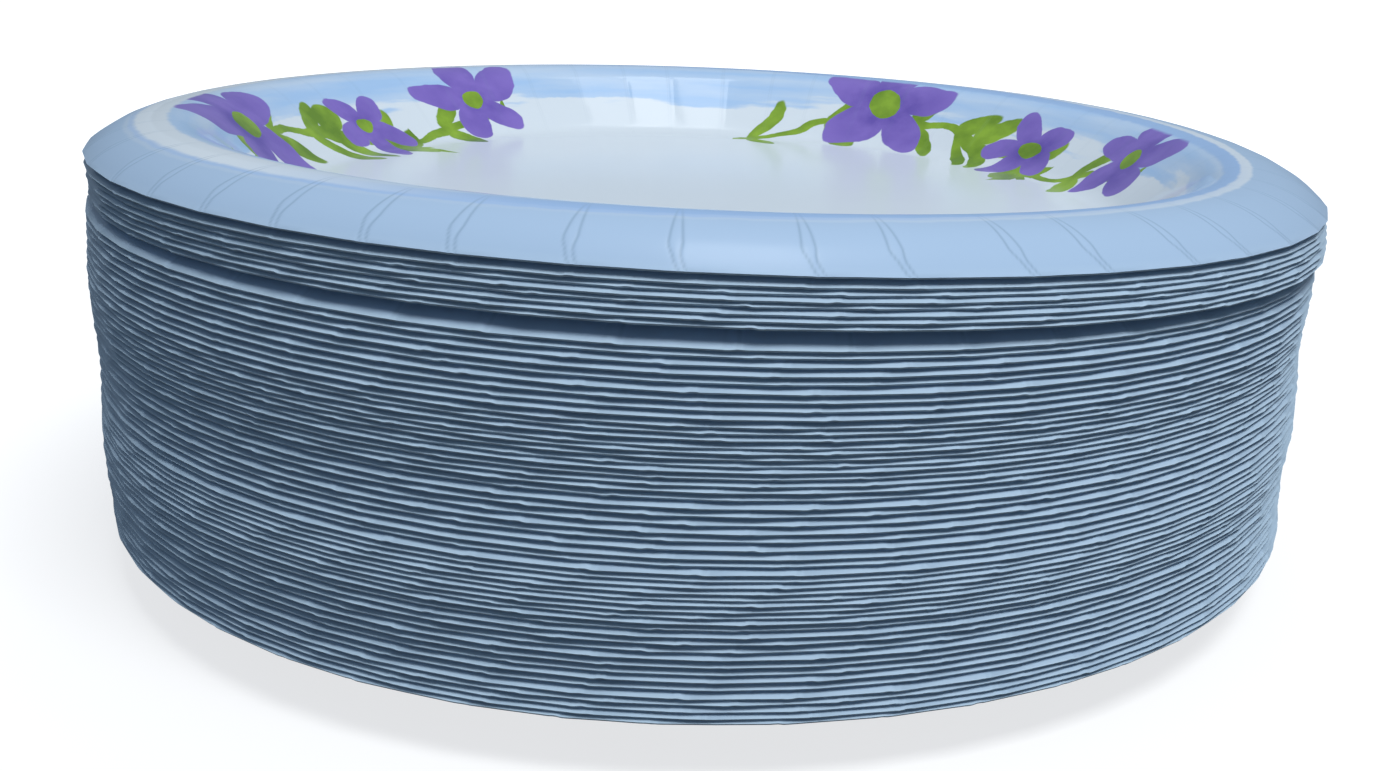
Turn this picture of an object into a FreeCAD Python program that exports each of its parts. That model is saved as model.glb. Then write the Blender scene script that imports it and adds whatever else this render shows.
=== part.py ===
import FreeCAD, Part
import math
import os

# A stack of round pressed paper plates, each nested in the one below.
# Millimetres, +Z up. The origin is the centre of the lowest plate's floor, on its underside,
# where the stack stands. +X is to the right and -Y is the front.

# One plate
PLATE_RADIUS = 127.8        # over the cut edge
BOARD = 0.45                # thickness of the coated board
DISH_DEPTH = 16.5           # from the floor up to the crest of the rim
RIM_WIDTH = 15.6            # from the crest out to the cut edge
RIM_DROP = 5.7              # from the crest down to the cut edge
WALL_SLOPE = math.radians(42.0)
FLOOR_BEND = 10.0           # upper face, where the floor turns up into the wall
SHOULDER_BEND = 12.0        # underside, where the wall turns over into the rim

# The crimps pressed into the rim, where the gathered board is folded under itself
CRIMP_COUNT = 48
CRIMP_WIDTH = 1.5
CRIMP_DEPTH = 0.22

# How the plates lie on each other
PLATE_COUNT = 60
NEST_CLEARANCE = 0.08       # least gap between neighbours, square to the board
SLACK = 0.36                # the further gap where the plates are packed least tightly
SLACK_WAVE = 19.5           # plates from one slack stretch to the next
WANDER = 0.4                # slow drift of the plates off the stack's axis
WANDER_TURN = math.radians(14.0)
JITTER = 0.1                # plate to plate scatter about that drift
GOLDEN_ANGLE = math.pi * (3.0 - math.sqrt(5.0))
STACK_LEAN = math.radians(1.45)     # of the highest tight plate, down towards +X

# The last few plates, put back on the stack by hand
LOOSE_COUNT = 8
LOOSE_SHIFT_X = 1.4
LOOSE_SHIFT_Y = -0.7
LOOSE_LEAN = math.radians(1.03)     # of the lowest loose plate
TOP_LEAN = math.radians(1.24)       # of the topmost plate
LEAN_STEP = math.radians(0.02)      # from one loose plate to the next
LOOSE_GAP = 0.25                    # the further gap under the lowest loose plate
TOP_GAP = 0.7                       # the further gap under the topmost plate

AXIS = FreeCAD.Vector(0, 0, 1)
CENTRE = FreeCAD.Vector(0, 0, 0)
FIRST_LOOSE = PLATE_COUNT - LOOSE_COUNT + 1


def at(radius, height):
    """A point of the plate's section, which lies in the XZ plane."""
    return FreeCAD.Vector(radius, 0, height)


def off_axis(centre, radius, angle):
    """The point at a radius from a bend's centre, at an angle from straight up towards the edge."""
    return centre + at(radius * math.sin(angle), radius * math.cos(angle))


def bend(centre, radius, start, end):
    """An arc of the section about a bend's centre."""
    middle = (start + end) / 2
    points = [off_axis(centre, radius, angle) for angle in (start, middle, end)]
    return Part.Arc(*points).toShape()


def line(start, end):
    return Part.LineSegment(start, end).toShape()


def bow_angle():
    """Slope of the rim at its cut edge, from the rim's width and drop."""
    return 2 * math.atan(RIM_DROP / RIM_WIDTH)


def bow_radius():
    """Radius of the rim's upper face, from the crest to the cut edge."""
    return RIM_WIDTH / math.sin(bow_angle())


def wall_length():
    """Straight part of the wall, between its two bends."""
    bends = (FLOOR_BEND + BOARD + SHOULDER_BEND) * (1 - math.cos(WALL_SLOPE))
    return (DISH_DEPTH - bends) / math.sin(WALL_SLOPE)


def floor_radius():
    """Where the flat floor ends and the lower bend begins."""
    bends = (FLOOR_BEND + BOARD + SHOULDER_BEND) * math.sin(WALL_SLOPE)
    wall = wall_length() * math.cos(WALL_SLOPE)
    return PLATE_RADIUS - RIM_WIDTH - bends - wall


def bend_centres():
    """Centres of the lower bend, of the shoulder and of the rim's bow."""
    crest = PLATE_RADIUS - RIM_WIDTH
    lower = at(floor_radius(), BOARD + FLOOR_BEND)
    shoulder = at(crest, DISH_DEPTH - SHOULDER_BEND)
    bow = at(crest, DISH_DEPTH + BOARD - bow_radius())
    return lower, shoulder, bow


def face_line(above):
    """One face of the board in section, as edges from the axis out to the cut edge.

    above is 0 for the underside and the board's thickness for the upper face.
    """
    lower, shoulder, bow = bend_centres()
    under = bow_radius() - BOARD
    floor = line(at(0, above), at(floor_radius(), above))
    turn_up = bend(lower, FLOOR_BEND + BOARD - above, math.pi, math.pi - WALL_SLOPE)
    turn_over = bend(shoulder, SHOULDER_BEND + above, -WALL_SLOPE, 0)
    rim = bend(bow, under + above, 0, bow_angle())
    wall = line(turn_up.Vertexes[-1].Point, turn_over.Vertexes[0].Point)
    return [floor, turn_up, wall, turn_over, rim]


def plain_plate():
    """A plate with an even rim: the board's section turned about the axis."""
    under = face_line(0)
    upper = face_line(BOARD)
    cut_edge = line(under[-1].Vertexes[-1].Point, upper[-1].Vertexes[-1].Point)
    middle = line(at(0, 0), at(0, BOARD))
    section = Part.Wire(Part.__sortEdges__(under + [cut_edge] + upper + [middle]))
    return Part.Face(section).revolve(CENTRE, AXIS, 360)


def crimp():
    """The hollow of one crimp: a shallow V that follows the rim's bow from the crest outwards."""
    bow = bend_centres()[2]
    crest = bow.z + bow_radius()
    half = CRIMP_WIDTH / 2
    corners = [
        FreeCAD.Vector(bow.x, -half, crest + CRIMP_DEPTH),
        FreeCAD.Vector(bow.x, half, crest + CRIMP_DEPTH),
        FreeCAD.Vector(bow.x, 0, crest - CRIMP_DEPTH),
    ]
    section = Part.Face(Part.makePolygon(corners + corners[:1]))
    past_edge = math.degrees(bow_angle()) + 5
    return section.revolve(bow, FreeCAD.Vector(0, 1, 0), past_edge)


def crimped_plate():
    """A plate with the crimps pressed into the upper face of its rim."""
    tool = crimp()
    tools = []
    for index in range(CRIMP_COUNT):
        turned = tool.copy()
        turned.rotate(CENTRE, AXIS, 360.0 * index / CRIMP_COUNT)
        tools.append(turned)
    return plain_plate().cut(tools)


def is_loose(number):
    return number >= FIRST_LOOSE


def shift(number):
    """How far a plate lies off the stack's axis."""
    drift = WANDER_TURN * number
    scatter = GOLDEN_ANGLE * number
    x = WANDER * math.cos(drift) + JITTER * math.cos(scatter)
    y = WANDER * math.sin(drift) + JITTER * math.sin(scatter)
    if is_loose(number):
        x += LOOSE_SHIFT_X
        y += LOOSE_SHIFT_Y
    return x, y


def lean(number):
    """How far a plate leans down towards +X."""
    if number == PLATE_COUNT:
        return TOP_LEAN
    if is_loose(number):
        return LOOSE_LEAN + LEAN_STEP * (number - FIRST_LOOSE)
    return STACK_LEAN * (number - 1) / (FIRST_LOOSE - 2)


def slack(number):
    """The gap that a plate has beyond the least one: tight and slack stretches take turns."""
    wave = math.cos(2 * math.pi * (PLATE_COUNT - 2 - number) / SLACK_WAVE)
    return SLACK * (1 - wave) / 2


def propped(number):
    """The further gap under the two plates that the folds below them hold up."""
    return {FIRST_LOOSE: LOOSE_GAP, PLATE_COUNT: TOP_GAP}.get(number, 0.0)


def rise(number):
    """How far a plate lies above the one below it.

    The board's slope closes the gap that the height opens, and so do a shift to the side and
    a change of lean, so each is added for the steepest place on the plate.
    """
    steepest = max(WALL_SLOPE, bow_angle()) + max(STACK_LEAN, LOOSE_LEAN, TOP_LEAN)
    x, y = shift(number)
    x_below, y_below = shift(number - 1)
    sideways = math.hypot(x - x_below, y - y_below)
    turned = abs(lean(number) - lean(number - 1))
    nested = (BOARD + NEST_CLEARANCE) / math.cos(steepest)
    clear = nested + sideways * math.tan(steepest) + turned * PLATE_RADIUS
    return clear + slack(number) + propped(number)


def place(plate, number, height):
    """A copy of the plate where it lies in the stack."""
    x, y = shift(number)
    x_first, y_first = shift(1)
    turn = FreeCAD.Rotation(FreeCAD.Vector(0, 1, 0), math.degrees(lean(number)))
    copy = plate.copy()
    copy.Placement = FreeCAD.Placement(FreeCAD.Vector(x - x_first, y - y_first, height), turn)
    return copy


def stack():
    """Every plate by its node's name, from the lowest to the topmost."""
    plain = plain_plate()
    crimped = crimped_plate()
    plates = {}
    height = 0.0
    for number in range(1, PLATE_COUNT + 1):
        if number > 1:
            height += rise(number)
        plate = crimped if number == PLATE_COUNT else plain
        plates[f"plate_{number:02d}"] = place(plate, number, height)
    return plates


os.makedirs("parts", exist_ok=True)
for name, solid in stack().items():
    solid.exportStep(f"parts/{name}.step")
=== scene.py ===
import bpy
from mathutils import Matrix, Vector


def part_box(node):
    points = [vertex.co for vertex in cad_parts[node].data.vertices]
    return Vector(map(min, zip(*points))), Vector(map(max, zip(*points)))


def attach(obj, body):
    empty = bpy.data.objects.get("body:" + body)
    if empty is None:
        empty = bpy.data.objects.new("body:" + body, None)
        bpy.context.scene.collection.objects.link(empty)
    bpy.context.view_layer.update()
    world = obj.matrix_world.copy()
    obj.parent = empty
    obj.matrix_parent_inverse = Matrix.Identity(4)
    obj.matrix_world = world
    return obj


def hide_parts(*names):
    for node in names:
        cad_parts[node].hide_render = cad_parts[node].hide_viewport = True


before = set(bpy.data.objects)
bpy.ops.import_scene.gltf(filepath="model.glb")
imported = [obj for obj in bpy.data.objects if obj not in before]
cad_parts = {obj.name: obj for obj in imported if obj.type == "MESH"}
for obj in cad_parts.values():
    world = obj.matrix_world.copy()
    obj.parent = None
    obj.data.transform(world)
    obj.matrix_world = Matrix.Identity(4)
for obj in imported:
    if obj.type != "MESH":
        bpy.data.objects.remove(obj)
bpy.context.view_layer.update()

import math
import random

import bpy
import numpy as np
from mathutils import Matrix, Vector

bl_info = {
    "name": "Stack of paper plates",
    "version": (1, 0, 0),
    "blender": (4, 5, 0),
    "location": "3D View > Sidebar > Plates",
    "description": "Dresses a stack of nested pressed paper plates",
    "category": "Object",
}

MM = 0.001
SEED = 11
NODES = sorted(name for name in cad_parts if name.startswith("plate_"))
TOPMOST = NODES[-1]

# How finely a plate is drawn: the steps of its upper face and of its underside, each over the
# floor, the lower bend, the wall, the shoulder and the rim's bow, and the places over a crimp where
# its section stands, in shares of the crimp's width
FINE = ((6, 8, 8, 12, 18), (1, 3, 2, 4, 8))
FINE_ACROSS = [i / 11 - 1.0 for i in range(23)]
# Both faces of a nested plate have the same steps, which keeps neighbours clear of each other
COARSE = ((1, 1, 1, 2, 4), (1, 1, 1, 2, 4))
COARSE_ACROSS = [-0.8, -0.5, -0.2, 0.0, 0.2, 0.5, 0.8]

BLANK_WIDTH = 280 * MM      # of the square that the UV map of a plate's flat blank covers
BOARD_MATERIALS = ("Printed coated paperboard", "Punched paperboard edge", "Uncoated paperboard back")
PRINTED, CUT, BACK = range(3)       # where a plate's mesh has each of them


def corners(node):
    low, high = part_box(node)
    return Vector(low), Vector(high)


def widest(node):
    """Radius over a plate's cut edge, from the node's own box."""
    low, high = corners(node)
    return (high.y - low.y) / 2


def loose_nodes():
    """The plates above the widest gap, which lie loose on the rest."""
    foot = [corners(node)[0].z for node in NODES]
    rises = [above - below for below, above in zip(foot, foot[1:])]
    return NODES[rises.index(max(rises)) + 1:]


LOOSE = loose_nodes()


def linear(code):
    """A colour written as sRGB hex, as the linear values that a shader takes."""
    code = code.lstrip("#")
    parts = [int(code[i:i + 2], 16) / 255 for i in (0, 2, 4)]
    return [c / 12.92 if c <= 0.04045 else ((c + 0.055) / 1.055) ** 2.4 for c in parts]


def length(name, description, millimetres):
    return bpy.props.FloatProperty(
        name=name, description=description, default=millimetres * MM, unit="LENGTH", precision=5)


def angle(name, description, degrees):
    return bpy.props.FloatProperty(
        name=name, description=description, default=math.radians(degrees), subtype="ANGLE")


def colour(name, description, code):
    return bpy.props.FloatVectorProperty(
        name=name, description=description, default=linear(code), subtype="COLOR", min=0, max=1)


class PlateShape(bpy.types.PropertyGroup):
    """The section of one plate, and how its rim departs from an even one."""
    radius: bpy.props.FloatProperty(
        name="Radius", description="Over the cut edge", default=widest(TOPMOST), unit="LENGTH")
    board: length("Board", "Thickness of the coated board", 0.45)
    dish_depth: length("Dish depth", "From the floor up to the crest of the rim", 16.5)
    rim_width: length("Rim width", "From the crest out to the cut edge", 15.6)
    rim_drop: length("Rim drop", "From the crest down to the cut edge", 5.7)
    wall_slope: angle("Wall slope", "Of the straight part of the wall", 42.0)
    floor_bend: length("Floor bend", "Radius of the upper face at the floor's edge", 10.0)
    shoulder_bend: length("Shoulder bend", "Radius of the underside at the shoulder", 12.0)
    crimps: bpy.props.IntProperty(
        name="Crimps", description="Folds pressed into the rim", default=48, min=3)
    crimp_width: length("Crimp width", "Between the two creases of a crimp, at its widest", 2.1)
    crease_depth: length("Crease depth", "How deep the creases of a crimp are pressed", 0.05)
    fold: length("Fold", "How far a crimp lifts one side of the edge and lowers the other", 0.11)
    facet: length("Facet", "How far the edge lies inside its circle between two crimps", 0.24)
    flutter: length("Flutter", "How far the edge waves up and down", 0.05)
    trim: length("Trim", "How much further in the shortest rims are cut", 0.25)
    sag: length("Sag", "How far the loose plates' right side hangs into the gap under them", 2.3)
    left_sag: length("Left sag", "How far their left side does", 0.7)
    sag_turn: angle("Sag turn", "Where the right side hangs lowest, from +X", -22)


class PrintColours(bpy.types.PropertyGroup):
    """The inks of the plate's printed face, with a painted shade for its creases and a paler edge that
    is partly painted highlight.
    """
    rim_blue: colour("Rim blue", "The rim's even blue", "#A0B8D4")
    band_blue: colour("Band blue", "The bluer band along the crest", "#92B0D8")
    wall_blue: colour("Wall blue", "The brushed blue inside the rim", "#9CBBDF")
    # Worn blue: partly ink thinned at the edge, partly a painted highlight that pales the outer strip
    # the lips show
    worn_and_highlight_blue: colour("Worn blue", "The rim's outermost 1.5 mm, where the ink thins", "#B6CCDE")
    white: colour("White", "The floor and the rings about the crest", "#CDD6DF")
    petal: colour("Petal", "The blossoms", "#7B66B8")
    petal_deep: colour("Deep petal", "The blossoms near their eyes", "#54429A")
    leaf: colour("Leaf", "Stems and leaves", "#86A831")
    leaf_deep: colour("Deep leaf", "Stems and leaves in their darker strokes", "#5F8120")
    cut_board: colour("Cut board", "The bare fibre at the cut edge", "#A8BED0")
    underside: colour("Underside", "The uncoated back of the board", "#B6D2E4")
    # Crease: painted shade, a darker grey-blue laid along the creases of the crimps
    crease_shade: colour("Crease", "The thin lines in which the coating has cracked", "#748CA4")


class PhotographStage(bpy.types.PropertyGroup):
    """The camera, measured from the middle of the topmost plate's cut edge, and the floor."""
    distance: length("Distance", "From the topmost rim's centre to the camera", 337.6)
    elevation: angle("Elevation", "Of the camera over the topmost rim", 7.99)
    pitch: angle("Pitch", "How far the camera looks down", 17.14)
    yaw: angle("Yaw", "How far the camera turns to the right", 0.08)
    roll: angle("Roll", "How far the camera is turned about its line of sight", 1.15)
    focal_length: bpy.props.FloatProperty(
        name="Focal length", description="In millimetres on a 36 mm wide frame", default=38.94)
    floor_colour: colour("Floor", "The plain floor that the stack stands on", "#F4F5F7")


def settings():
    scene = bpy.context.scene
    return scene.plate_shape, scene.plate_print, scene.plate_stage


# The section of one plate, as radius and height

def bow_angle(shape):
    return 2 * math.atan(shape.rim_drop / shape.rim_width)


def bow_radius(shape):
    """Radius of the rim's upper face, from the crest to the cut edge."""
    return shape.rim_width / math.sin(bow_angle(shape))


def crest_radius(shape):
    return shape.radius - shape.rim_width


def floor_radius(shape):
    """Where the flat floor ends and the lower bend begins."""
    bends = shape.floor_bend + shape.board + shape.shoulder_bend
    slope = shape.wall_slope
    wall = (shape.dish_depth - bends * (1 - math.cos(slope))) / math.sin(slope)
    return crest_radius(shape) - bends * math.sin(slope) - wall * math.cos(slope)


def section(shape, above, counts):
    """One face of the board from the axis to the cut edge, as rows of radius and height.

    above is 0 for the underside and the board's thickness for the upper face. counts gives the
    steps on the floor, the lower bend, the wall, the shoulder and the bow.
    """
    slope = shape.wall_slope
    floor, crest, bow = floor_radius(shape), crest_radius(shape), bow_radius(shape)
    # The centre and radius of each arc, and its turn from straight up where it starts and ends
    stretches = [
        (floor, shape.board + shape.floor_bend, shape.floor_bend + shape.board - above,
         math.pi, math.pi - slope),
        (crest, shape.dish_depth - shape.shoulder_bend, shape.shoulder_bend + above, -slope, 0),
        (crest, shape.dish_depth + shape.board - bow, bow - shape.board + above,
         0, bow_angle(shape)),
    ]
    flat = np.linspace(0, floor, counts[0] + 1)[:-1]
    pieces = [np.column_stack([flat, np.full(len(flat), above)])]
    arcs = []
    for (x, z, radius, start, stop), count in zip(stretches, (counts[1], counts[3], counts[4])):
        turn = np.linspace(start, stop, count + 1)
        arcs.append(np.column_stack([x + radius * np.sin(turn), z + radius * np.cos(turn)]))
    steps = np.linspace(0, 1, counts[2] + 1)[1:-1, None]
    wall = arcs[0][-1] + (arcs[1][0] - arcs[0][-1]) * steps
    pieces += [arcs[0], wall, arcs[1], arcs[2][1:]]
    return np.vstack(pieces)


def along(points):
    """How far each point of a section lies from the axis, along the section."""
    steps = np.hypot(*np.diff(points, axis=0).T)
    return np.concatenate([[points[0, 0]], points[0, 0] + np.cumsum(steps)])


def landmarks(shape):
    """How far the wall's foot, the crest and the cut edge lie from the axis, along the board."""
    floor, lower_bend = 1, 4
    reach = along(section(shape, shape.board, (floor, lower_bend, 2, 4, 1)))
    return reach[floor + lower_bend], reach[-2], reach[-1]


# How a plate lies, read from its node

class Lie:
    """Where one plate's node lies: the middle of its floor's underside, and its lean."""

    def __init__(self, node, shape):
        low, high = corners(node)
        tall = shape.dish_depth + shape.board
        reach = crest_radius(shape) + floor_radius(shape)
        self.lean = math.asin(max(0.0, high.z - low.z - tall) / reach)
        edge_height = tall - shape.rim_drop
        x = (low.x + high.x) / 2 - edge_height * math.sin(self.lean)
        y = (low.y + high.y) / 2
        z = low.z + floor_radius(shape) * math.sin(self.lean)
        self.foot = Vector((x, y, z))

    def matrix(self):
        return Matrix.Translation(self.foot) @ Matrix.Rotation(self.lean, 4, "Y")


# The rim's folds

# A crimp is a pair of creases that part on their way from the crest to the cut edge
CREST_SPREAD = 0.14         # half the distance between them at the crest, in shares of its width
WIDEST_AT = 0.72            # where they are furthest apart, from 0 at the crest to 1 at the cut edge
EDGE_SPREAD = 0.55          # the share of that distance that is left at the cut edge
HOOK = 1.3 * MM             # how far they turn aside at the cut edge
CREASE_WIDTH = 0.18 * MM    # half the width of one crease at the crest
CREASE_GROWTH = 0.07 * MM   # how much wider it is at the cut edge
CREASE_FADE = 20 * MM       # over which it fades in from the floor's edge
CREST_STRENGTH = 0.2        # how strong it is at the crest
EDGE_GAIN = 2.2             # how fast it grows past there, up to full strength

CRIMP_SCATTER = 0.12        # how far a crimp lies off its even place, in shares of the spacing
UNEVEN_TRIM = 0.5           # how much more a rim is trimmed on one side than on average
FOLD_LIFT = 2.3             # brings the highest point of a fold's own curve up to about 1
FOLD_TRIM = 0.5             # how far a fold draws the edge in, in shares of its lift
# TOPMOST_WEAR also sets how much of the paler edge, partly painted highlight, the topmost plate gets
TOPMOST_WEAR = 0.2          # how worn and bent the topmost plate's edge is, next to the others'
LONG_WAVES = (2, 7)         # the fewest and most waves of a rim's slow flutter
UNDER_CREASE = 0.5          # how deep a crease is on the underside, next to the upper face


def columns(shape, across, turned, scatter):
    """The angles at which a plate's section stands, closest together at the crimps.

    across is the list of places over a crimp, in shares of its width. It returns the angles,
    and for each the nearest crimp's own angle.
    """
    spacing = 2 * math.pi / shape.crimps
    reach = shape.crimp_width / shape.radius
    angles, nearest = [], []
    for index in range(shape.crimps):
        middle = turned + spacing * (index + scatter[index])
        for place in across:
            angles.append(middle + place * reach)
            nearest.append(middle)
        following = turned + spacing * (index + 1 + scatter[(index + 1) % shape.crimps])
        angles.append((middle + following) / 2)
        nearest.append(middle)
    return np.array(angles), np.array(nearest)


def crimp_spread(shape, place):
    """Half the distance between a crimp's creases, by the place from the crest to the edge."""
    opening = np.clip(place / WIDEST_AT, 0, 1)
    closing = np.clip((1 - place) / (1 - WIDEST_AT), EDGE_SPREAD, 1)
    return shape.crimp_width * (CREST_SPREAD + (0.5 - CREST_SPREAD) * opening) * closing


def waves(angles, rng, lowest, highest):
    """A slow wave round the rim between -1 and 1, from a few whole numbers of waves."""
    total = np.zeros_like(angles)
    weight = 0.0
    for count in range(lowest, highest + 1):
        size = rng.uniform(0.3, 1.0) / math.sqrt(count)
        total += size * np.sin(count * angles + rng.uniform(0, 2 * math.pi))
        weight += size
    return total / weight


def wear(node):
    return TOPMOST_WEAR if node == TOPMOST else 1.0


def edge_line(node, shape, angles, nearest, rng):
    """How much shorter than the bow a plate's rim is, and how far its edge is lifted, at each angle."""
    shortest = 0.0 if node == TOPMOST else rng.uniform(0, 1) * shape.trim
    one_side = 1 + UNEVEN_TRIM * np.cos(angles - rng.uniform(0, 2 * math.pi))
    trim = shortest * one_side / (1 + UNEVEN_TRIM)
    lift = shape.flutter * (waves(angles, rng, *LONG_WAVES) - 1) / 2
    folds = [rng.uniform(-1, 1) for _ in range(shape.crimps)]
    folds = np.repeat(folds, len(angles) // shape.crimps)
    beside = (angles - nearest) * shape.radius / (0.5 * shape.crimp_width)
    fold = wear(node) * shape.fold * np.exp(-beside ** 2)
    return trim + FOLD_TRIM * fold, lift + FOLD_LIFT * fold * folds * beside


def rim_share(shape, radius):
    """0 at the crest and inside it, 1 at the cut edge."""
    return np.clip((radius - crest_radius(shape)) / shape.rim_width, 0, 1)


def trimmed(shape, face, out, trim):
    """Radius and height of a face's points, with the rim rolled back along its bow by the trim."""
    radius, height = face[:, 0:1], face[:, 1:2]
    bow = bow_radius(shape)
    turned = np.arcsin(np.clip(out * math.sin(bow_angle(shape)), 0, 1))
    rolled = np.maximum(turned - trim * out ** 2 / bow, 0)
    radius = radius + np.where(out > 0, bow * (np.sin(rolled) - np.sin(turned)), 0)
    height = height + np.where(out > 0, bow * (np.cos(rolled) - np.cos(turned)), 0)
    return radius, height


def face_points(shape, face, angles, nearest, trim, lift, crease_depth):
    """One face of the board, turned round and folded: positions and how deep in a crease each is.

    Rows follow the section and columns go round. trim and lift give one value a column.
    """
    out = rim_share(shape, face[:, 0:1])
    radius, height = trimmed(shape, face, out, trim)
    hook = HOOK * np.clip((out - WIDEST_AT) / (1 - WIDEST_AT), 0, 1) ** 2
    aside = np.abs((angles - nearest) * radius - hook)
    width = CREASE_WIDTH + CREASE_GROWTH * out
    creases = np.exp(-((aside - crimp_spread(shape, out)) / width) ** 2)
    creases *= np.clip((radius - floor_radius(shape)) / CREASE_FADE, 0, 1)
    creases *= np.clip(CREST_STRENGTH + EDGE_GAIN * out, 0, 1)
    between = np.abs(angles - nearest) * shape.crimps / (2 * math.pi)
    facet = shape.facet * (1 - (2 * np.abs(between - 0.5)) ** 2)
    radius = radius - facet * out
    height = height - crease_depth * creases + lift * out ** 1.5
    positions = np.stack([radius * np.cos(angles), radius * np.sin(angles), height], axis=-1)
    return positions, creases


def sagged(points, shape):
    """Points of a loose plate whose sides hang down, as its board bends under its own weight."""
    across = points[..., 0] * math.cos(shape.sag_turn) + points[..., 1] * math.sin(shape.sag_turn)
    deepest = np.where(across > 0, shape.sag, shape.left_sag)
    bent = points.copy()
    bent[..., 2] -= deepest * np.abs(across / shape.radius) ** 3
    return bent


# The mesh of one plate: rings of points from the middle of the upper face, over the cut edge
# and back to the middle of the underside

def ring_faces(starts, count):
    """A fan on each middle point and a strip between each two rings of count points."""
    here = np.arange(count)
    beside = (here + 1) % count
    rings = starts[1:-2]
    faces = [(starts[0], rings[0] + a, rings[0] + b) for a, b in zip(here, beside)]
    for first, second in zip(rings, rings[1:]):
        strip = [second + here, second + beside, first + beside, first + here]
        faces += np.column_stack(strip).tolist()
    faces += [(starts[-2], rings[-1] + b, rings[-1] + a) for a, b in zip(here, beside)]
    return faces


def lay_out(mesh, flat):
    """A UV map of where each point lies on the flat blank, from a place for each vertex."""
    layout = mesh.uv_layers.new(name="Blank")
    loops = np.empty(len(mesh.loops), dtype=np.int32)
    mesh.loops.foreach_get("vertex_index", loops)
    layout.data.foreach_set("uv", (flat[loops] / BLANK_WIDTH + 0.5).ravel())


def mark_points(mesh, name, values):
    """Gives each point a named value, which a material reads."""
    mesh.attributes.new(name, "FLOAT", "POINT").data.foreach_set("value", values)


def plate_mesh(node, shape, counts, across, rng):
    """A closed mesh of one plate where its node lies, with its print's layout as a UV map."""
    turned = rng.uniform(0, 2 * math.pi)
    scatter = [rng.uniform(-CRIMP_SCATTER, CRIMP_SCATTER) for _ in range(shape.crimps)]
    angles, nearest = columns(shape, across, turned, scatter)
    edge = edge_line(node, shape, angles, nearest, rng)
    upper = section(shape, shape.board, counts[0])
    under = section(shape, 0.0, counts[1])
    depth = shape.crease_depth
    above, creased = face_points(shape, upper, angles, nearest, *edge, depth)
    below, _ = face_points(shape, under, angles, nearest, *edge, depth * UNDER_CREASE)
    if node in LOOSE:
        above, below = sagged(above, shape), sagged(below, shape)

    count = len(angles)
    rings = [above[0, :1], *above[1:], *below[:0:-1], below[0, :1]]
    starts = np.cumsum([0] + [len(ring) for ring in rings])
    place = np.array(Lie(node, shape).matrix())
    points = np.vstack(rings) @ place[:3, :3].T + place[:3, 3]
    mesh = bpy.data.meshes.new(node + "_board")
    mesh.from_pydata(points.tolist(), [], ring_faces(starts, count))
    materials = [PRINTED] * (len(upper) - 1) + [CUT] + [BACK] * (len(under) - 1)
    mesh.polygons.foreach_set("material_index", np.repeat(materials, count).tolist())

    blank = np.concatenate([along(upper), along(under)[::-1]])
    round_blank = np.column_stack([np.cos(angles), np.sin(angles)])
    lay_out(mesh, np.vstack([reach * round_blank[:len(ring)] for reach, ring in zip(blank, rings)]))
    # How deep in a crease each point of the upper face lies, for the painted shade in the creases
    creases = np.zeros(len(points))
    creases[1:1 + creased[1:].size] = creased[1:].ravel()
    mark_points(mesh, "crease_shade", creases)
    # How strongly a plate's edge is paled: partly real wear, partly painted highlight
    mark_points(mesh, "scuffed_and_highlight", np.full(len(points), wear(node)))

    # The board is smooth all over, but for the crisp corners of its cut edge
    mesh.validate()
    mesh.polygons.foreach_set("use_smooth", [True] * len(mesh.polygons))
    mesh.set_sharp_from_angle(angle=math.radians(40))
    mesh.update()
    return mesh


# Materials

MATH = "ShaderNodeMath"
BUNCHES = 3                         # of blossoms, evenly round the wall
BUNCH_TURN = math.radians(40)       # of the first one, from the right towards the back
LEAF_SPACING = 25 * MM              # from one pair of leaves to the next
LEAF_START = 0.22                   # where a pair grows from the stem, in shares of that spacing
LEAF_TILT = math.radians(48)        # of a leaf, from its stem


def add_node(tree, kind, inputs=None, **options):
    """Adds a node, sets its options, and gives each named input a value or a link."""
    node = tree.nodes.new(kind)
    for name, value in options.items():
        setattr(node, name, value)
    for name, value in (inputs or {}).items():
        if isinstance(value, bpy.types.NodeSocket):
            tree.links.new(value, node.inputs[name])
        else:
            node.inputs[name].default_value = value
    return node


def new_material(name):
    material = bpy.data.materials.new(name)
    material.use_nodes = True
    tree = material.node_tree
    tree.nodes.clear()
    surface = add_node(tree, "ShaderNodeBsdfPrincipled")
    add_node(tree, "ShaderNodeOutputMaterial", {"Surface": surface.outputs[0]})
    return material, tree, surface


def rgba(value):
    return (*value, 1.0)


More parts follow.
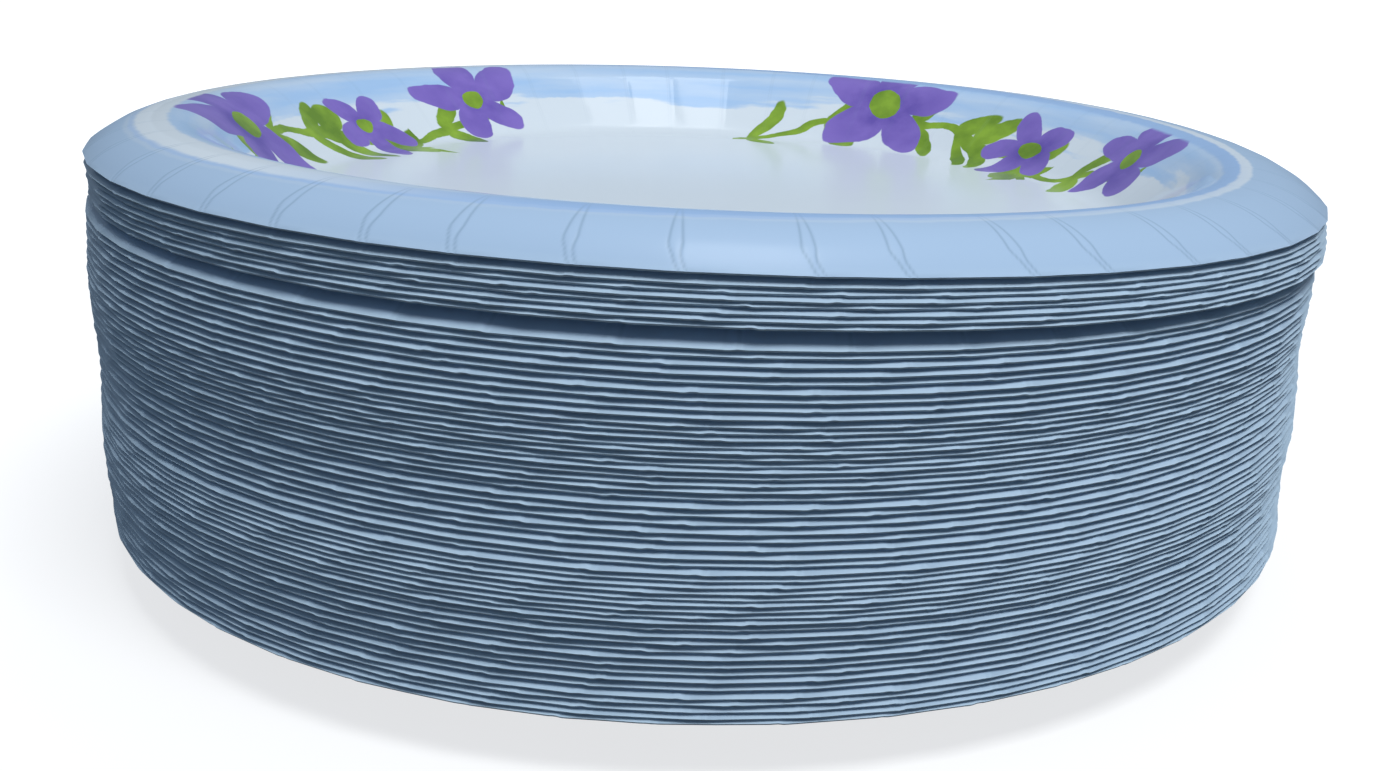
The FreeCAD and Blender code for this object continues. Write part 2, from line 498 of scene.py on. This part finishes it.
def blossom(tree, across, up, middle, petal, spin):
    """A five-petalled blossom: how far a point is inside its petals, and how near its eye."""
    x = add_node(tree, MATH, {0: across, 1: middle[0]}, operation="SUBTRACT").outputs[0]
    y = add_node(tree, MATH, {0: up, 1: middle[1]}, operation="SUBTRACT").outputs[0]
    square = add_node(tree, MATH, {0: x, 1: x}, operation="MULTIPLY").outputs[0]
    square = add_node(tree, MATH, {0: y, 1: y, 2: square}, operation="MULTIPLY_ADD").outputs[0]
    away = add_node(tree, MATH, {0: square}, operation="SQRT").outputs[0]
    # Every petal is the same one, turned by a fifth
    fifth = 2 * math.pi / 5
    turn = add_node(tree, MATH, {0: y, 1: x}, operation="ARCTAN2").outputs[0]
    turn = add_node(tree, MATH, {0: turn, 1: spin}, operation="ADD").outputs[0]
    turn = add_node(tree, MATH, {0: turn, 1: 1 / fifth}, operation="MULTIPLY").outputs[0]
    turn = add_node(tree, MATH, {0: turn}, operation="FRACT").outputs[0]
    turn = add_node(tree, MATH, {0: turn, 1: 0.5}, operation="SUBTRACT").outputs[0]
    turn = add_node(tree, MATH, {0: turn, 1: fifth}, operation="MULTIPLY").outputs[0]
    cosine = add_node(tree, MATH, {0: turn}, operation="COSINE").outputs[0]
    sine = add_node(tree, MATH, {0: turn}, operation="SINE").outputs[0]
    out = add_node(tree, MATH, {0: away, 1: cosine}, operation="MULTIPLY").outputs[0]
    side = add_node(tree, MATH, {0: away, 1: sine}, operation="MULTIPLY").outputs[0]
    # A petal is an oval from near the eye out to the petal's length
    oval_middle, half_length, half_width = 0.56 * petal, 0.44 * petal, 0.29 * petal
    out = add_node(tree, MATH, {0: out, 1: oval_middle}, operation="SUBTRACT").outputs[0]
    out = add_node(tree, MATH, {0: out, 1: 1 / half_length}, operation="MULTIPLY").outputs[0]
    side = add_node(tree, MATH, {0: side, 1: 1 / half_width}, operation="MULTIPLY").outputs[0]
    out = add_node(tree, MATH, {0: out, 1: out}, operation="MULTIPLY").outputs[0]
    out = add_node(tree, MATH, {0: side, 1: side, 2: out}, operation="MULTIPLY_ADD").outputs[0]
    inside = add_node(tree, "ShaderNodeMapRange",
                      {"Value": out, "From Min": 1.08, "From Max": 0.94},
                      interpolation_type="SMOOTHSTEP").outputs[0]
    near = add_node(tree, "ShaderNodeMapRange",
                    {"Value": away, "From Min": petal, "From Max": 0.1 * petal}).outputs[0]
    return inside, near


def sprig(tree, across, up, start, span, bow):
    """A stem with pairs of leaves: how far a point is inside it."""
    x = add_node(tree, MATH, {0: across, 1: start[0]}, operation="SUBTRACT").outputs[0]
    y = add_node(tree, MATH, {0: up, 1: start[1]}, operation="SUBTRACT").outputs[0]
    wave = add_node(tree, MATH, {0: x, 1: math.pi / span}, operation="MULTIPLY").outputs[0]
    wave = add_node(tree, MATH, {0: wave}, operation="SINE").outputs[0]
    y = add_node(tree, MATH, {0: wave, 1: -bow, 2: y}, operation="MULTIPLY_ADD").outputs[0]
    aside = add_node(tree, MATH, {0: y}, operation="ABSOLUTE").outputs[0]
    # The stem is 2.5 mm wide
    stem = add_node(tree, "ShaderNodeMapRange",
                    {"Value": aside, "From Min": 1.35 * MM, "From Max": 1.1 * MM},
                    interpolation_type="SMOOTHSTEP").outputs[0]
    cell = add_node(tree, MATH, {0: x, 1: 1 / LEAF_SPACING}, operation="MULTIPLY").outputs[0]
    cell = add_node(tree, MATH, {0: cell}, operation="FRACT").outputs[0]
    cell = add_node(tree, MATH, {0: cell, 1: LEAF_START}, operation="SUBTRACT").outputs[0]
    cell = add_node(tree, MATH, {0: cell, 1: LEAF_SPACING}, operation="MULTIPLY").outputs[0]
    cosine, sine = math.cos(LEAF_TILT), math.sin(LEAF_TILT)
    long = add_node(tree, MATH, {0: cell, 1: cosine}, operation="MULTIPLY").outputs[0]
    long = add_node(tree, MATH, {0: aside, 1: sine, 2: long}, operation="MULTIPLY_ADD").outputs[0]
    wide = add_node(tree, MATH, {0: cell, 1: -sine}, operation="MULTIPLY").outputs[0]
    wide = add_node(tree, MATH, {0: aside, 1: cosine, 2: wide}, operation="MULTIPLY_ADD").outputs[0]
    # A leaf is an oval 14.8 mm long and 5.2 mm wide, which starts at its stem
    long = add_node(tree, MATH, {0: long, 1: 7.6 * MM}, operation="SUBTRACT").outputs[0]
    long = add_node(tree, MATH, {0: long, 1: 1 / (7.4 * MM)}, operation="MULTIPLY").outputs[0]
    wide = add_node(tree, MATH, {0: wide, 1: 1 / (2.6 * MM)}, operation="MULTIPLY").outputs[0]
    long = add_node(tree, MATH, {0: long, 1: long}, operation="MULTIPLY").outputs[0]
    leaf = add_node(tree, MATH, {0: wide, 1: wide, 2: long}, operation="MULTIPLY_ADD").outputs[0]
    leaf = add_node(tree, "ShaderNodeMapRange",
                    {"Value": leaf, "From Min": 1.15, "From Max": 0.9},
                    interpolation_type="SMOOTHSTEP").outputs[0]
    green = add_node(tree, MATH, {0: stem, 1: leaf}, operation="MAXIMUM").outputs[0]
    begins = add_node(tree, MATH, {0: x, 1: 0.0}, operation="GREATER_THAN").outputs[0]
    ends = add_node(tree, MATH, {0: x, 1: span}, operation="LESS_THAN").outputs[0]
    kept = add_node(tree, MATH, {0: begins, 1: ends}, operation="MULTIPLY").outputs[0]
    return add_node(tree, MATH, {0: green, 1: kept}, operation="MULTIPLY").outputs[0]


def on_the_blank(tree):
    """A point's place on the flat blank, as it is, as a brush moves it and as a hand draws it."""
    sheet = add_node(tree, "ShaderNodeUVMap", uv_map="Blank").outputs[0]
    sheet = add_node(tree, "ShaderNodeVectorMath", {0: sheet, 1: (0.5, 0.5, 0.0)},
                     operation="SUBTRACT").outputs[0]
    sheet = add_node(tree, "ShaderNodeVectorMath", {0: sheet, "Scale": BLANK_WIDTH},
                     operation="SCALE").outputs[0]
    # A brush's edge wanders by up to 0.4 mm every 4 mm
    brush = add_node(tree, "ShaderNodeTexNoise",
                     {"Vector": sheet, "Scale": 1 / (4 * MM), "Detail": 2.0}).outputs["Color"]
    brush = add_node(tree, "ShaderNodeVectorMath", {0: brush, 1: (0.5, 0.5, 0.5)},
                     operation="SUBTRACT").outputs[0]
    brush = add_node(tree, "ShaderNodeVectorMath", {0: brush, "Scale": 1.2 * MM},
                     operation="SCALE").outputs[0]
    # The hand bends the drawing's shapes by up to 3 mm over 20 mm
    hand = add_node(tree, "ShaderNodeTexNoise",
                    {"Vector": sheet, "Scale": 1 / (20 * MM), "Detail": 1.0}).outputs["Color"]
    hand = add_node(tree, "ShaderNodeVectorMath", {0: hand, 1: (0.5, 0.5, 0.5)},
                    operation="SUBTRACT").outputs[0]
    hand = add_node(tree, "ShaderNodeVectorMath", {0: hand, 1: (11 * MM,) * 3, 2: brush},
                    operation="MULTIPLY_ADD").outputs[0]
    brushed = add_node(tree, "ShaderNodeVectorMath", {0: sheet, 1: brush}, operation="ADD").outputs[0]
    drawn = add_node(tree, "ShaderNodeVectorMath", {0: sheet, 1: hand}, operation="ADD").outputs[0]
    return sheet, brushed, drawn


def polar(tree, place):
    """The angle and the distance of a place from the blank's middle."""
    split = add_node(tree, "ShaderNodeSeparateXYZ", {0: place})
    around = add_node(tree, MATH, {0: split.outputs[1], 1: split.outputs[0]},
                      operation="ARCTAN2").outputs[0]
    radius = add_node(tree, "ShaderNodeVectorMath", {0: place}, operation="LENGTH").outputs["Value"]
    return around, radius


def painted_ground(tree, brushed, wall_foot, inks):
    """White on the floor, and on the wall a blue put on in long strokes with a ragged lower edge."""
    around, radius = polar(tree, brushed)
    stroke = add_node(tree, "ShaderNodeCombineXYZ", {0: around, 1: radius}).outputs[0]
    # A stroke is about 45 mm long and 6 mm wide
    stroke = add_node(tree, "ShaderNodeVectorMath", {0: stroke, 1: (2.2, 170.0, 1.0)},
                      operation="MULTIPLY").outputs[0]
    stroke = add_node(tree, "ShaderNodeTexNoise",
                      {"Vector": stroke, "Scale": 1.0, "Detail": 3.0}).outputs[0]
    low = add_node(tree, MATH, {0: stroke, 1: -26 * MM, 2: wall_foot + 22 * MM},
                   operation="MULTIPLY_ADD").outputs[0]
    wash = add_node(tree, MATH, {0: radius, 1: low}, operation="SUBTRACT").outputs[0]
    wash = add_node(tree, "ShaderNodeMapRange",
                    {"Value": wash, "From Min": -1.5 * MM, "From Max": 1.5 * MM},
                    interpolation_type="SMOOTHSTEP").outputs[0]
    streak = add_node(tree, "ShaderNodeMapRange",
                      {"Value": stroke, "From Min": 0.35, "From Max": 0.65, "To Min": 0.55}).outputs[0]
    wash = add_node(tree, MATH, {0: wash, 1: streak}, operation="MULTIPLY").outputs[0]
    return add_node(tree, "ShaderNodeMix",
                    {0: wash, 6: rgba(inks.white), 7: rgba(inks.wall_blue)},
                    data_type="RGBA").outputs[2]


def printed_rings(tree, brushed, crest, inks):
    """The rings about the crest: how far a point is in each one, and its ink, from first to last."""
    # They lie 4 mm to the left of the plate's centre
    ringed = add_node(tree, "ShaderNodeVectorMath", {0: brushed, 1: (4 * MM, 0.0, 0.0)},
                      operation="ADD").outputs[0]
    past = add_node(tree, "ShaderNodeVectorMath", {0: ringed}, operation="LENGTH").outputs["Value"]
    past = add_node(tree, MATH, {0: past, 1: crest}, operation="SUBTRACT").outputs[0]
    band = add_node(tree, "ShaderNodeMapRange",
                    {"Value": past, "From Min": -1.8 * MM, "From Max": -0.4 * MM},
                    interpolation_type="SMOOTHSTEP").outputs[0]
    rim = add_node(tree, "ShaderNodeMapRange",
                   {"Value": past, "From Min": 3.2 * MM, "From Max": 3.9 * MM},
                   interpolation_type="SMOOTHSTEP").outputs[0]
    # A white line between the band and the rim, plain on the right and faint on the left
    line = add_node(tree, MATH, {0: past, 1: 3.4 * MM}, operation="SUBTRACT").outputs[0]
    line = add_node(tree, MATH, {0: line}, operation="ABSOLUTE").outputs[0]
    line = add_node(tree, "ShaderNodeMapRange",
                    {"Value": line, "From Min": 1.5 * MM, "From Max": 0.7 * MM},
                    interpolation_type="SMOOTHSTEP").outputs[0]
    around, _ = polar(tree, brushed)
    side = add_node(tree, MATH, {0: around}, operation="COSINE").outputs[0]
    faint = add_node(tree, MATH, {0: side, 1: 0.45, 2: 0.3}, operation="MULTIPLY_ADD").outputs[0]
    faint = add_node(tree, MATH, {0: faint, 1: side, 2: 0.15}, operation="MULTIPLY_ADD").outputs[0]
    line = add_node(tree, MATH, {0: line, 1: faint}, operation="MULTIPLY").outputs[0]
    # A broad white ring on the left alone
    broad = add_node(tree, MATH, {0: past, 1: 0.8 * MM}, operation="ADD").outputs[0]
    broad = add_node(tree, MATH, {0: broad}, operation="ABSOLUTE").outputs[0]
    broad = add_node(tree, "ShaderNodeMapRange",
                     {"Value": broad, "From Min": 3.8 * MM, "From Max": 2.6 * MM},
                     interpolation_type="SMOOTHSTEP").outputs[0]
    left = add_node(tree, "ShaderNodeMapRange",
                    {"Value": side, "From Min": -0.2, "From Max": -0.75},
                    interpolation_type="SMOOTHSTEP").outputs[0]
    broad = add_node(tree, MATH, {0: broad, 1: left}, operation="MULTIPLY").outputs[0]
    return ((band, inks.band_blue), (broad, inks.white), (rim, inks.rim_blue), (line, inks.white))


def painted_bunches(tree, ground, sheet, drawn, middle, inks):
    """The ground with like bunches of violet blossoms on leafy stems, along the wall's middle."""
    around, radius = polar(tree, drawn)
    offset = 0.5 + BUNCH_TURN * BUNCHES / (2 * math.pi)
    turn = add_node(tree, MATH, {0: around, 1: -BUNCHES / (2 * math.pi), 2: offset},
                    operation="MULTIPLY_ADD").outputs[0]
    turn = add_node(tree, MATH, {0: turn}, operation="FRACT").outputs[0]
    across = add_node(tree, MATH, {0: turn, 1: 0.5}, operation="SUBTRACT").outputs[0]
    across = add_node(tree, MATH, {0: across, 1: 2 * math.pi * middle / BUNCHES},
                      operation="MULTIPLY").outputs[0]
    up = add_node(tree, MATH, {0: radius, 1: middle}, operation="SUBTRACT").outputs[0]
    # The paint is blotched every 9 mm
    tone = add_node(tree, "ShaderNodeTexNoise",
                    {"Vector": sheet, "Scale": 1 / (9 * MM), "Detail": 4.0}).outputs[0]
    tone = add_node(tree, "ShaderNodeMapRange",
                    {"Value": tone, "From Min": 0.35, "From Max": 0.65}).outputs[0]
    green = add_node(tree, "ShaderNodeMix",
                     {0: tone, 6: rgba(inks.leaf), 7: rgba(inks.leaf_deep)},
                     data_type="RGBA").outputs[2]
    # Each stem's start, length and bow
    sprigs = [((-84 * MM, -20 * MM), 112 * MM, 15 * MM), ((-16 * MM, -6 * MM), 82 * MM, -9 * MM)]
    for start, span, bow in sprigs:
        inside = sprig(tree, across, up, start, span, bow)
        ground = add_node(tree, "ShaderNodeMix", {0: inside, 6: ground, 7: green},
                          data_type="RGBA").outputs[2]
    # Each blossom's place, the length of its petals and its turn
    blossoms = [((-38 * MM, 1 * MM), 21 * MM, 0.4), ((14 * MM, -9 * MM), 14 * MM, 1.1),
                ((56 * MM, -2 * MM), 17 * MM, 0.1)]
    for place, petal, spin in blossoms:
        inside, near = blossom(tree, across, up, place, petal, spin)
        deep = add_node(tree, MATH, {0: near, 1: tone}, operation="MULTIPLY").outputs[0]
        violet = add_node(tree, "ShaderNodeMix",
                          {0: deep, 6: rgba(inks.petal), 7: rgba(inks.petal_deep)},
                          data_type="RGBA").outputs[2]
        ground = add_node(tree, "ShaderNodeMix", {0: inside, 6: ground, 7: violet},
                          data_type="RGBA").outputs[2]
        eye = add_node(tree, MATH, {0: near, 1: 0.87}, operation="GREATER_THAN").outputs[0]
        ground = add_node(tree, "ShaderNodeMix", {0: eye, 6: ground, 7: green},
                          data_type="RGBA").outputs[2]
    return ground


def worn_print_with_painted_light(tree, ground, far, edge, inks):
    """The print paler at the cut edge, partly thinned ink and partly painted highlight, with painted
    shade as thin grey-blue lines in its creases.
    """
    # The paler edge: partly thinned ink, partly painted highlight
    worn_and_highlight = add_node(tree, "ShaderNodeMapRange",
                    {"Value": far, "From Min": edge - 1.5 * MM, "From Max": edge,
                     "To Max": 0.75}).outputs[0]
    scuffed_and_highlight = add_node(tree, "ShaderNodeAttribute", attribute_name="scuffed_and_highlight").outputs["Fac"]
    worn_and_highlight = add_node(tree, MATH, {0: worn_and_highlight, 1: scuffed_and_highlight}, operation="MULTIPLY").outputs[0]
    ground = add_node(tree, "ShaderNodeMix", {0: worn_and_highlight, 6: ground, 7: rgba(inks.worn_and_highlight_blue)},
                      data_type="RGBA").outputs[2]
    # Painted shade: the creases are darkened with the crease colour
    crease_shade = add_node(tree, "ShaderNodeAttribute", attribute_name="crease_shade").outputs["Fac"]
    crease_shade = add_node(tree, MATH, {0: crease_shade, 1: 0.5}, operation="MULTIPLY").outputs[0]
    return add_node(tree, "ShaderNodeMix", {0: crease_shade, 6: ground, 7: rgba(inks.crease_shade)},
                    data_type="RGBA").outputs[2]


def pressed_relief(tree, sheet):
    """The board's fibre every 1.2 mm and its swell every 22 mm, faint under the coating."""
    fibre = add_node(tree, "ShaderNodeTexNoise",
                     {"Vector": sheet, "Scale": 1 / (1.2 * MM), "Detail": 3.0}).outputs[0]
    swell = add_node(tree, "ShaderNodeTexNoise",
                     {"Vector": sheet, "Scale": 1 / (22 * MM), "Detail": 1.0}).outputs[0]
    swell = add_node(tree, MATH, {0: swell, 1: 80.0, 2: fibre}, operation="MULTIPLY_ADD").outputs[0]
    return add_node(tree, "ShaderNodeBump",
                    {"Height": swell, "Distance": 0.002 * MM, "Strength": 0.6}).outputs[0]


def printed_board(shape, inks):
    """Coated paperboard, printed and pressed: a hard gloss over soft watercolour inks."""
    material, tree, surface = new_material(BOARD_MATERIALS[PRINTED])
    wall_foot, crest, edge = landmarks(shape)
    sheet, brushed, drawn = on_the_blank(tree)
    print_colour = painted_ground(tree, brushed, wall_foot, inks)
    middle = (wall_foot + crest) / 2
    print_colour = painted_bunches(tree, print_colour, sheet, drawn, middle, inks)
    rings = printed_rings(tree, brushed, crest, inks)
    for within, ink in rings:
        print_colour = add_node(tree, "ShaderNodeMix", {0: within, 6: print_colour, 7: rgba(ink)},
                                data_type="RGBA").outputs[2]
    _, far = polar(tree, sheet)
    print_colour = worn_print_with_painted_light(tree, print_colour, far, edge, inks)
    tree.links.new(print_colour, surface.inputs["Base Color"])
    surface.inputs["Roughness"].default_value = 0.5
    surface.inputs["Specular IOR Level"].default_value = 0.3
    surface.inputs["Coat Weight"].default_value = 0.55
    surface.inputs["Coat IOR"].default_value = 1.5
    # The wall was pressed smoothest and mirrors the window, the floor less, and the rim is dull
    polish = add_node(tree, "ShaderNodeMapRange",
                      {"Value": far, "From Min": wall_foot - 5 * MM, "From Max": wall_foot + 3 * MM,
                       "To Min": 0.18, "To Max": 0.04}).outputs[0]
    past_wall = rings[0][0]
    dulled = add_node(tree, "ShaderNodeMapRange",
                      {"Value": past_wall, "To Min": polish, "To Max": 0.24}).outputs[0]
    tree.links.new(dulled, surface.inputs["Coat Roughness"])
    relief = pressed_relief(tree, sheet)
    tree.links.new(relief, surface.inputs["Normal"])
    tree.links.new(relief, surface.inputs["Coat Normal"])
    return material


def cut_edge(inks):
    """The board where the blank was punched out: matt bare fibre in thin plies."""
    material, tree, surface = new_material(BOARD_MATERIALS[CUT])
    place = add_node(tree, "ShaderNodeTexCoord").outputs["Object"]
    # The plies are 0.14 mm thick, and their tone changes every 2.5 mm along them
    plies = add_node(tree, "ShaderNodeVectorMath",
                     {0: place, 1: (1 / (2.5 * MM), 1 / (2.5 * MM), 1 / (0.14 * MM))},
                     operation="MULTIPLY").outputs[0]
    fibre = add_node(tree, "ShaderNodeTexNoise", {"Vector": plies, "Scale": 1.0, "Detail": 3.0})
    tone = add_node(tree, "ShaderNodeMapRange",
                    {"Value": fibre.outputs[0], "From Min": 0.3, "From Max": 0.7}).outputs[0]
    # Painted shade: the board is darker between its fibres, in the hollows of the noise that its bump
    # also follows
    shade = tuple(0.62 * c for c in inks.cut_board)
    base = add_node(tree, "ShaderNodeMix", {0: tone, 6: rgba(shade), 7: rgba(inks.cut_board)},
                    data_type="RGBA").outputs[2]
    tree.links.new(base, surface.inputs["Base Color"])
    surface.inputs["Roughness"].default_value = 0.9
    bump = add_node(tree, "ShaderNodeBump",
                    {"Height": fibre.outputs[0], "Distance": 0.06 * MM, "Strength": 0.8}).outputs[0]
    tree.links.new(bump, surface.inputs["Normal"])
    return material


def plain_back(inks):
    """The board's back: uncoated calendered paper, pale and matt with a faint mottle."""
    material, tree, surface = new_material(BOARD_MATERIALS[BACK])
    place = add_node(tree, "ShaderNodeTexCoord").outputs["Object"]
    mottle = add_node(tree, "ShaderNodeTexNoise",
                      {"Vector": place, "Scale": 1 / (3 * MM), "Detail": 5.0}).outputs[0]
    tone = add_node(tree, "ShaderNodeMapRange",
                    {"Value": mottle, "From Min": 0.3, "From Max": 0.7}).outputs[0]
    shade = tuple(0.9 * c for c in inks.underside)
    base = add_node(tree, "ShaderNodeMix", {0: tone, 6: rgba(shade), 7: rgba(inks.underside)},
                    data_type="RGBA").outputs[2]
    tree.links.new(base, surface.inputs["Base Color"])
    surface.inputs["Roughness"].default_value = 0.8
    fibre = add_node(tree, "ShaderNodeTexNoise",
                     {"Vector": place, "Scale": 1 / (0.5 * MM), "Detail": 3.0}).outputs[0]
    bump = add_node(tree, "ShaderNodeBump",
                    {"Height": fibre, "Distance": 0.03 * MM, "Strength": 0.5}).outputs[0]
    tree.links.new(bump, surface.inputs["Normal"])
    return material


def board_materials(shape, inks):
    """The three faces of the board, made once and shared by every plate."""
    if BOARD_MATERIALS[PRINTED] in bpy.data.materials:
        return [bpy.data.materials[name] for name in BOARD_MATERIALS]
    return [printed_board(shape, inks), cut_edge(inks), plain_back(inks)]


def dress(node, mesh, materials):
    """Puts a detailed plate in its node's place."""
    for material in materials:
        mesh.materials.append(material)
    piece = bpy.data.objects.new(node + "_pressed", mesh)
    bpy.context.scene.collection.objects.link(piece)
    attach(piece, "root")
    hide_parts(node)


class PLATES_OT_nested(bpy.types.Operator):
    """Make the plates under the topmost one, of which mostly the rims show"""
    bl_idname = "plates.nested"
    bl_label = "Nested plates"

    def execute(self, context):
        shape, inks, _ = settings()
        materials = board_materials(shape, inks)
        rng = random.Random(SEED)
        for node in NODES[:-1]:
            mesh = plate_mesh(node, shape, COARSE, COARSE_ACROSS, rng)
            dress(node, mesh, materials)
        return {"FINISHED"}


class PLATES_OT_topmost(bpy.types.Operator):
    """Make the topmost plate, whose whole printed face shows"""
    bl_idname = "plates.topmost"
    bl_label = "Topmost plate"

    def execute(self, context):
        shape, inks, _ = settings()
        materials = board_materials(shape, inks)
        rng = random.Random(SEED + 1)
        mesh = plate_mesh(TOPMOST, shape, FINE, FINE_ACROSS, rng)
        dress(TOPMOST, mesh, materials)
        return {"FINISHED"}


def make_camera(shape, stage):
    """A camera where the photograph was taken from, turned as it was."""
    lie = Lie(TOPMOST, shape)
    rim = lie.foot.z + shape.dish_depth + shape.board - shape.rim_drop
    away = stage.distance * math.cos(stage.elevation)
    over = stage.distance * math.sin(stage.elevation)
    place = Vector((0, -away, rim + over))
    forward = Vector((math.sin(stage.yaw) * math.cos(stage.pitch),
                      math.cos(stage.yaw) * math.cos(stage.pitch), -math.sin(stage.pitch)))
    right = Vector((math.cos(stage.yaw), -math.sin(stage.yaw), 0))
    up = right.cross(forward)
    rolled_right = math.cos(stage.roll) * right + math.sin(stage.roll) * up
    rolled_up = math.cos(stage.roll) * up - math.sin(stage.roll) * right
    data = bpy.data.cameras.new("Camera")
    data.sensor_width = 36.0
    data.lens = stage.focal_length
    camera = bpy.data.objects.new("Camera", data)
    turn = Matrix((rolled_right, rolled_up, -forward)).transposed().to_4x4()
    camera.matrix_world = Matrix.Translation(place) @ turn
    bpy.context.scene.collection.objects.link(camera)
    bpy.context.scene.camera = camera


def make_light(name, place, target, size, power, tint, mirrored=True):
    """An area light. Where mirrored is off, gloss doesn't show its outline."""
    data = bpy.data.lights.new(name, "AREA")
    data.shape = "RECTANGLE"
    data.size, data.size_y = size
    data.energy = power
    data.color = tint
    light = bpy.data.objects.new(name, data)
    light.location = place
    aim = (Vector(target) - Vector(place)).to_track_quat("-Z", "Y")
    light.rotation_euler = aim.to_euler()
    light.visible_glossy = mirrored
    bpy.context.scene.collection.objects.link(light)


def make_floor(stage):
    """A wide pale floor under the stack."""
    side, back = 12.0, 24.0
    mesh = bpy.data.meshes.new("Floor")
    outline = [(-side, -side, 0), (side, -side, 0), (side, back, 0), (-side, back, 0)]
    mesh.from_pydata(outline, [], [(0, 1, 2, 3)])
    floor = bpy.data.objects.new("Floor", mesh)
    material, tree, surface = new_material("Matt studio floor")
    surface.inputs["Roughness"].default_value = 0.9
    surface.inputs["Specular IOR Level"].default_value = 0.1
    # The eye sees a pale floor with a soft shadow, while the stack gets little of it back
    ray = add_node(tree, "ShaderNodeLightPath").outputs["Is Camera Ray"]
    base = add_node(tree, "ShaderNodeMix",
                    {0: ray, 6: rgba([0.15 * c for c in stage.floor_colour]),
                     7: rgba([0.3 * c for c in stage.floor_colour])},
                    data_type="RGBA").outputs[2]
    # It brightens to white from the stack outwards
    place = add_node(tree, "ShaderNodeTexCoord").outputs["Object"]
    away = add_node(tree, "ShaderNodeVectorMath", {0: place}, operation="LENGTH").outputs["Value"]
    glow = add_node(tree, "ShaderNodeMapRange",
                    {"Value": away, "From Min": 0.15, "From Max": 0.6,
                     "To Min": 0.82, "To Max": 1.1}).outputs[0]
    glow = add_node(tree, MATH, {0: glow, 1: ray}, operation="MULTIPLY").outputs[0]
    tree.links.new(base, surface.inputs["Base Color"])
    surface.inputs["Emission Color"].default_value = rgba(stage.floor_colour)
    tree.links.new(glow, surface.inputs["Emission Strength"])
    mesh.materials.append(material)
    bpy.context.scene.collection.objects.link(floor)


def make_lights():
    """The ceiling's light from the right front, the dim room behind, and a window of three panes."""
    make_light("Ceiling", (0.36, -0.64, 1.4), (0.1, -0.1, 0.08), (0.65, 0.45), 20.8,
               (0.99, 1.0, 0.98), mirrored=False)
    make_light("Room behind", (-0.2, 1.3, 0.6), (0, 0, 0.05), (1.2, 0.8), 3,
               (0.9, 0.95, 1.0), mirrored=False)
    first_x, spacing = 0.03, 0.108
    for pane, power in enumerate((0.65, 0.75, 0.4)):
        x = first_x + spacing * pane
        make_light(f"Window pane {pane + 1}", (x, 0.12, 1.2), (x, 0.12, 0), (0.094, 0.5), power,
                   (0.94, 0.97, 1.0))


def pale_room():
    """A dim even light from all round, and a white background behind the stack."""
    world = bpy.data.worlds.new("Pale room")
    world.use_nodes = True
    tree = world.node_tree
    tree.nodes.clear()
    light = add_node(tree, "ShaderNodeBackground",
                     {"Color": rgba(linear("#BAD0E6")), "Strength": 0.34}).outputs[0]
    seen = add_node(tree, "ShaderNodeBackground", {"Color": (1, 1, 1, 1), "Strength": 1.0}).outputs[0]
    ray = add_node(tree, "ShaderNodeLightPath").outputs["Is Camera Ray"]
    mixed = add_node(tree, "ShaderNodeMixShader", {0: ray, 1: light, 2: seen}).outputs[0]
    add_node(tree, "ShaderNodeOutputWorld", {"Surface": mixed})
    return world


class PLATES_OT_stage(bpy.types.Operator):
    """Make the floor, the light and the camera"""
    bl_idname = "plates.stage"
    bl_label = "Stage"

    def execute(self, context):
        shape, _, stage = settings()
        make_floor(stage)
        make_camera(shape, stage)
        make_lights()
        context.scene.world = pale_room()
        context.scene.view_settings.view_transform = "Standard"
        return {"FINISHED"}


class PLATES_PT_panel(bpy.types.Panel):
    """Lists the stack's sizes, inks and parts"""
    bl_idname = "PLATES_PT_panel"
    bl_label = "Stack of paper plates"
    bl_space_type = "VIEW_3D"
    bl_region_type = "UI"
    bl_category = "Plates"

    def draw(self, context):
        for group in settings():
            box = self.layout.box()
            for name in group.__annotations__:
                box.prop(group, name)
        for operator in OPERATORS:
            self.layout.operator(operator.bl_idname)


OPERATORS = [PLATES_OT_nested, PLATES_OT_topmost, PLATES_OT_stage]
GROUPS = {"plate_shape": PlateShape, "plate_print": PrintColours, "plate_stage": PhotographStage}


def register():
    for part in [*GROUPS.values(), *OPERATORS, PLATES_PT_panel]:
        bpy.utils.register_class(part)
    for name, group in GROUPS.items():
        setattr(bpy.types.Scene, name, bpy.props.PointerProperty(type=group))


def unregister():
    for name in GROUPS:
        delattr(bpy.types.Scene, name)
    for part in [*GROUPS.values(), *OPERATORS, PLATES_PT_panel]:
        bpy.utils.unregister_class(part)


def main():
    register()
    bpy.ops.plates.nested()
    bpy.ops.plates.topmost()
    bpy.ops.plates.stage()


if __name__ == "__main__":
    main()
